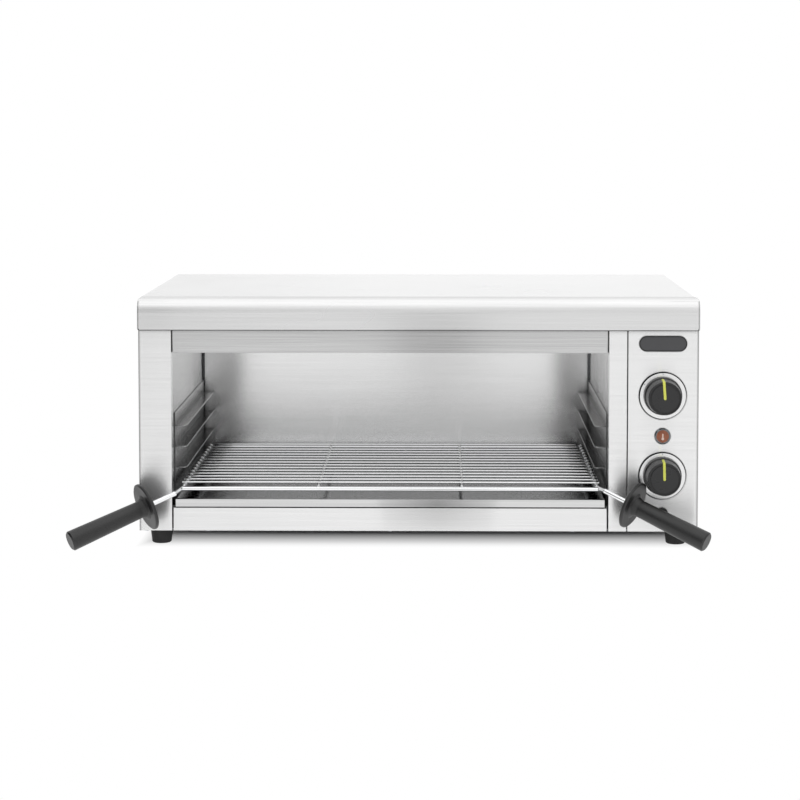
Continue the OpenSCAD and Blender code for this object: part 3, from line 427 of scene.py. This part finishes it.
# The nodes that each material is on.
finishes = {
    coverSteel: ["top_cover"],
    faceSteel: ["left_side_panel", "control_panel", "right_post"],
    bottomSteel: ["bottom_rail"],
    railSteel: ["top_rail"],
    backSteel: ["cavity_back"],
    wallSteel: ["cavity_left_wall", "cavity_right_wall", "cavity_floor"],
    ceilingSteel: ["cavity_ceiling"],
    guideSteel: ["left_rack_guides", "right_rack_guides"],
    traySteel: ["drip_tray"],
    plateSteel: ["base_plate", "back_panel"],
    chrome: ["rack_frame", "rack_wires"],
    screwZinc: ["foot_screws", "base_screws", "back_screws", "upper_spindle", "lower_spindle"],
    bracketZinc: ["element_brackets", "element_bushes", "bulb_clips"],
    elementSheath: ["front_element", "rear_element"],
    bakelite: ["left_handle", "right_handle"],
    knobPlastic: ["upper_knob", "lower_knob"],
    pointerPlastic: ["upper_pointer", "lower_pointer"],
    bezelChrome: ["lamp_bezel"],
    blackPlastic: ["reset_button", "reset_collar", "cable_gland"],
    casePlastic: ["upper_control", "lower_control", "safety_cutout"],
    paleCeramic: ["lamp_body", "terminal_block"],
    footRubber: ["feet"],
    leadSleeve: ["wiring"],
    badgeEnamel: ["badge_plate"],
    copperTube: ["sensor_bulb"],
    lensPlastic: ["lamp_lens"],
    spunAluminium(dialLook, dialMiddle("upper_dial_ring")): ["upper_dial_ring"],
    spunAluminium(dialLook, dialMiddle("lower_dial_ring")): ["lower_dial_ring"],
}
for material, names in finishes.items():
    for name in names:
        nodes[name].data.materials.clear()
        nodes[name].data.materials.append(material)
print("finishes on", sum(len(names) for names in finishes.values()), "nodes")


# Small solid shapes for the pieces below, each added to the mesh in bm.
def addBall(bm, middle, radii, around=10, rings=6):  # an ellipsoid, its faces in the same order each run
    circles = []
    for i in range(1, rings):
        tilt = math.pi * i / rings
        circle = []
        for j in range(around):
            a = math.pi / 2 + 2 * math.pi * j / around
            out = Vector((radii[0] * math.sin(tilt) * math.cos(a), radii[1] * math.sin(tilt) * math.sin(a),
                          radii[2] * math.cos(tilt)))
            circle.append(bm.verts.new(middle + out))
        circles.append(circle)
    top = bm.verts.new(middle + Vector((0, 0, radii[2])))
    bottom = bm.verts.new(middle - Vector((0, 0, radii[2])))
    for j in range(around):
        k = (j + 1) % around
        bm.faces.new((top, circles[0][j], circles[0][k]))
        for upper, lower in zip(circles, circles[1:]):
            bm.faces.new((upper[j], lower[j], lower[k], upper[k]))
        bm.faces.new((bottom, circles[-1][k], circles[-1][j]))


def addStrip(bm, start, end, wide, front, back):  # a flat strip with round ends, thin along Y
    along = Vector((end[0] - start[0], 0, end[1] - start[1]))
    angle = math.atan2(along.z, along.x)
    steps = 5
    rim = []
    for point, turn in ((end, -math.pi / 2), (start, math.pi / 2)):
        for i in range(steps + 1):
            a = angle + turn + math.pi * i / steps
            rim.append((point[0] + wide / 2 * math.cos(a), point[1] + wide / 2 * math.sin(a)))
    near = [bm.verts.new((x, front, z)) for x, z in rim]
    far = [bm.verts.new((x, back, z)) for x, z in rim]
    bm.faces.new(near)
    bm.faces.new(list(reversed(far)))
    for i in range(len(rim)):
        j = (i + 1) % len(rim)
        bm.faces.new((near[i], far[i], far[j], near[j]))


# Resistance welds of the rack: a small bead where each grid wire crosses the side rods and the stays.
weldLook = {"wires": 15, "sideIn": 2.5, "stays": (150.55, 307.55), "long": 2.3, "wide": 2.1, "high": 1.1,
            "sink": 1.25}


def buildWelds(bm):
    low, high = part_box("rack_wires")
    wire = (high.z - low.z) / 2
    first, last = low.y + wire, high.y - wire
    rods = [low.x + weldLook["sideIn"] * mm, high.x - weldLook["sideIn"] * mm]
    rods += [low.x + at * mm for at in weldLook["stays"]]
    for i in range(weldLook["wires"]):
        y = first + (last - first) * i / (weldLook["wires"] - 1)
        for x in rods:
            addBall(bm, Vector((x, y, high.z - weldLook["sink"] * mm)),
                    (weldLook["long"] * mm, weldLook["wide"] * mm, weldLook["high"] * mm))


addPiece("rack_welds", buildWelds, weldChrome, "grill_rack")


# Printed marks on the dial discs: short lines at their starts, at these angles from the top.
tickLook = {"inner": 22.9, "outer": 24.3, "wide": 0.5, "thick": 0.08, "face": 0.3, "sunk": 0.02,
            "angles": {"upper_dial_ring": (0, 58), "lower_dial_ring": (0,)}}


def buildTicks(bm):
    for name, angles in tickLook["angles"].items():
        x, front, z = dialMiddle(name)
        face = front + tickLook["face"] * mm
        for angle in angles:
            a = math.radians(90 + angle)
            ends = [(x + r * mm * math.cos(a), z + r * mm * math.sin(a))
                    for r in (tickLook["inner"], tickLook["outer"])]
            addStrip(bm, ends[0], ends[1], tickLook["wide"] * mm, face - tickLook["thick"] * mm,
                     face + tickLook["sunk"] * mm)


addPiece("dial_ticks", buildTicks, printInk, "housing")


# A plain thermometer sign set into the front of the lamp lens: a stem and a bulb.
signLook = {"stem": 5.0, "stemWide": 1.5, "bulb": 3.0, "low": -2.6, "depth": 0.9, "proud": 0.05,
            "bulbBack": 0.03, "bulbHalf": 0.01}


def buildSign(bm):
    low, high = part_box("lamp_lens")
    x, z = (low.x + high.x) / 2, (low.z + high.z) / 2 + signLook["low"] * mm
    front = low.y - signLook["proud"] * mm
    back = low.y + signLook["depth"] * mm
    half = signLook["bulbHalf"] * mm
    addStrip(bm, (x, z), (x, z + signLook["stem"] * mm), signLook["stemWide"] * mm, front, back)
    addStrip(bm, (x - half, z), (x + half, z), signLook["bulb"] * mm,
             front + signLook["bulbBack"] * mm, back)


addPiece("lamp_sign", buildSign, markPlastic, "housing")


# Black strips in the joints between the top rail and the posts, just behind the front face: dark things
# set in the gaps as painted shade.
jointShadeLook = {"middle": 0.6, "wide": 1.3, "low": 1.5, "high": 26, "front": 0.5, "back": 3.0}


def buildJointShade(bm):
    low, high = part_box("top_rail")
    for x in (low.x + jointShadeLook["middle"] * mm, high.x - jointShadeLook["middle"] * mm):
        addStrip(bm, (x, low.z + jointShadeLook["low"] * mm), (x, low.z + jointShadeLook["high"] * mm),
                 jointShadeLook["wide"] * mm, low.y + jointShadeLook["front"] * mm, low.y + jointShadeLook["back"] * mm)


addPiece("rail_joint_shade", buildJointShade, blackPlastic, "housing")
print("welds, dial marks, lamp sign and seals made")


# The camera that took the photo: "place" is in metres from the front left bottom corner of the body, and
# "pitch" and "turn" are degrees downwards and to the left.
cameraLook = {"place": (0.3284, -2.297, 0.4557), "pitch": 3.5, "turn": 0.715, "lens": 95.8,
              "shift": (-0.0178, -0.197)}


def makeCamera(look):
    data = bpy.data.cameras.new("camera")
    data.lens = look["lens"]
    data.sensor_width = 36
    data.shift_x, data.shift_y = look["shift"]
    camera = bpy.data.objects.new("camera", data)
    camera.location = bodyCorner + Vector(look["place"])
    camera.rotation_euler = (math.radians(90 - look["pitch"]), 0, math.radians(look["turn"]))
    bpy.context.scene.collection.objects.link(camera)
    bpy.context.scene.camera = camera


def whiteFor(tree):  # 1 for the rays that see plain white: from the camera, off gloss and through glass
    path = addNode(tree, "LightPath")
    seen = addNode(tree, "Math", {0: path.outputs["Is Camera Ray"], 1: path.outputs["Is Glossy Ray"]},
                   operation="MAXIMUM")
    through = addNode(tree, "Math", {0: seen.outputs[0], 1: path.outputs["Is Transmission Ray"]},
                      operation="MAXIMUM")
    return through.outputs[0]


def stageSheet(name, corners, size, place, material):
    mesh = bpy.data.meshes.new(name)
    mesh.from_pydata([Vector(corner) * size for corner in corners], [], [(0, 1, 2, 3)])
    mesh.materials.append(material)
    sheet = bpy.data.objects.new(name, mesh)
    sheet.location = place
    bpy.context.scene.collection.objects.link(sheet)
    return sheet


# Matt white paper, lit from all round. Painted light fades its shadow out by the distance from the
# outline of the cover: the shadow stays under the body and fades out towards its edges, and outside it is
# plain white. "shadowFrom" and "whiteFrom" are distances in mm from the outline of the cover, and at its
# sides the shadow fades "sideFade" times as fast.
floorLook = {"size": 12, "colour": "#dedede", "shadowFrom": -72, "whiteFrom": 8, "sideFade": 2.6}


def makeFloor(look):
    low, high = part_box("top_cover")
    middle = ((low.x + high.x) / 2, (low.y + high.y) / 2, 0)
    reach = ((high.x - low.x) / 2, (high.y - low.y) / 2, 0)
    material, tree, shader = newMaterial("matt_white_floor")
    shader.inputs["Base Color"].default_value = toLinear(look["colour"])
    shader.inputs["Roughness"].default_value = 0.9
    shader.inputs["Specular IOR Level"].default_value = 0.0
    place = addNode(tree, "TexCoord")
    centred = addNode(tree, "VectorMath", {0: place.outputs["Object"]}, {1: middle}, operation="SUBTRACT")
    mirrored = addNode(tree, "VectorMath", {0: centred.outputs[0]}, operation="ABSOLUTE")
    beyond = addNode(tree, "VectorMath", {0: mirrored.outputs[0]}, {1: reach}, operation="SUBTRACT")
    steeper = addNode(tree, "VectorMath", {0: beyond.outputs[0]}, {1: (look["sideFade"], 1, 1)},
                      operation="MULTIPLY")
    parts = addNode(tree, "SeparateXYZ", {0: steeper.outputs[0]})
    distance = addNode(tree, "Math", {0: parts.outputs[0], 1: parts.outputs[1]}, operation="MAXIMUM")
    far = addNode(tree, "MapRange", {0: distance.outputs[0]},
                  {1: look["shadowFrom"] * mm, 2: look["whiteFrom"] * mm})
    # Painted light: white is mixed over the floor's own shading by that distance.
    farSeen = addNode(tree, "Math", {0: far.outputs[0], 1: whiteFor(tree)}, operation="MULTIPLY")
    white = addNode(tree, "Emission", values={1: 1.0})
    both = addNode(tree, "MixShader", {0: farSeen.outputs[0], 1: shader.outputs[0], 2: white.outputs[0]})
    tree.links.new(both.outputs[0], tree.nodes["Material Output"].inputs[0])
    stageSheet("floor", [(-1, -1, 0), (1, -1, 0), (1, 1, 0), (-1, 1, 0)], look["size"] / 2, (0, 0, 0),
               material)


# Boards that only gloss shows: most as in a product studio, and three as painted reflections. "place" is
# the middle of the near edge, "turn" and "lean" are degrees about the vertical and out of the upright, and
# "near" and "far" are half widths. "tones" are brightnesses at shares of the width from left to right, and
# "dim" is at the near edge.
boardLooks = {
    "studio_board": {
        "place": (0.0, -3.6, 0.0), "turn": 0, "lean": 0, "near": 1.2, "far": 1.2, "reach": 2.6, "dim": 0.9,
        "tones": ((0.0, 0.5), (0.16, 0.62), (0.3, 0.9), (0.5, 0.86), (0.8, 0.9), (1.0, 0.85))},
    # A dark strip lying on the floor that only gloss shows: a painted reflection in the bottom rail.
    "dark_reflection_patch": {
        "place": (0.052, -0.2, 0.004), "turn": 0, "lean": -90, "near": 0.06, "far": 0.09, "reach": 0.4,
        "dim": 1.0, "tones": ((0.0, 0.95), (0.5, 0.42), (1.0, 0.95))},
    # A grey card lying inside the cavity that only gloss shows: a painted reflection in the rack and tray.
    "cavity_card": {
        "place": (0.0, -0.09, 0.2), "turn": 0, "lean": 90, "near": 0.215, "far": 0.215, "reach": 0.26,
        "dim": 1.0, "tones": ((0.0, 0.7), (1.0, 0.7))},
    # A grey strip lying on the floor that only gloss shows: a painted reflection in the front of the body.
    "grey_reflection_strip": {
        "place": (0.048, -0.62, 0.004), "turn": 0, "lean": -90, "near": 0.05, "far": 0.12, "reach": 2.9,
        "dim": 1.0, "tones": ((0.0, 0.7), (1.0, 0.7))},
    "left_board": {
        "place": (-2.3, -1.2, 0.0), "turn": 90, "lean": 0, "near": 2.2, "far": 2.2, "reach": 2.2,
        "dim": 1.0, "tones": ((0.0, 0.05), (1.0, 0.05))},
    "right_board": {
        "place": (2.9, -0.2, 0.0), "turn": -90, "lean": 0, "near": 2.2, "far": 2.2, "reach": 2.4,
        "dim": 0.9, "tones": ((0.0, 0.86), (1.0, 0.7))},
    "bright_board": {
        "place": (0.0, 3.6, 0.0), "turn": 0, "lean": 0, "near": 1.2, "far": 1.2, "reach": 1.6, "dim": 1.0,
        "tones": ((0.0, 0.98), (0.2, 1.06), (0.45, 1.2), (1.0, 1.2))},
}


def makeBoard(name, look):
    material, tree, shader = newMaterial("painted_" + name)
    place = addNode(tree, "TexCoord")
    parts = addNode(tree, "SeparateXYZ", {0: place.outputs["Object"]})
    widest = max(look["near"], look["far"])
    share = addNode(tree, "MapRange", {0: parts.outputs[0]}, {1: -widest, 2: widest})
    tones = addNode(tree, "ValToRGB", {0: share.outputs[0]})
    ramp = tones.color_ramp
    while len(ramp.elements) < len(look["tones"]):
        ramp.elements.new(0.5)
    for stop, (at, tone) in zip(ramp.elements, look["tones"]):
        stop.position = at
        stop.color = (tone, tone, tone, 1)
    rise = addNode(tree, "MapRange", {0: parts.outputs[2]},
                   {1: 0.0, 2: look["reach"], 3: look["dim"], 4: 1.0})
    glow = addNode(tree, "Emission", {0: tones.outputs[0], 1: rise.outputs[0]})
    tree.links.new(glow.outputs[0], tree.nodes["Material Output"].inputs[0])
    near, far, reach = look["near"], look["far"], look["reach"]
    board = stageSheet(name, [(-near, 0, 0), (near, 0, 0), (far, 0, reach), (-far, 0, reach)], 1.0,
                       look["place"], material)
    board.rotation_euler = (math.radians(-look["lean"]), 0, math.radians(look["turn"]))
    board.visible_camera = False
    board.visible_diffuse = False
    board.visible_shadow = False
    board.visible_transmission = False


# An even white room with one large softbox above the front.
lightLook = {"sky": 0.93, "lampPower": 4.4, "lampSize": 2.0, "lampPlace": (0.1, -0.6, 1.9)}


def makeLight(look):
    world = bpy.data.worlds.new("white studio")
    world.use_nodes = True
    tree = world.node_tree
    tree.nodes.clear()
    sky = addNode(tree, "Background", values={0: (1, 1, 1, 1), 1: look["sky"]})
    white = addNode(tree, "Background", values={0: (1, 1, 1, 1), 1: 1.0})
    both = addNode(tree, "MixShader", {0: whiteFor(tree), 1: sky.outputs[0], 2: white.outputs[0]})
    addNode(tree, "OutputWorld", {0: both.outputs[0]})
    bpy.context.scene.world = world
    lamp = bpy.data.lights.new("softbox", "AREA")
    lamp.shape = "SQUARE"
    lamp.size = look["lampSize"]
    lamp.energy = look["lampPower"]
    softbox = bpy.data.objects.new("softbox", lamp)
    softbox.location = look["lampPlace"]
    softbox.rotation_euler = Vector(look["lampPlace"]).to_track_quat("Z", "Y").to_euler()
    bpy.context.scene.collection.objects.link(softbox)


makeCamera(cameraLook)
makeFloor(floorLook)
makeLight(lightLook)
for name, look in boardLooks.items():
    makeBoard(name, look)
bpy.context.scene.view_settings.view_transform = "Standard"
print("camera, floor and light made")
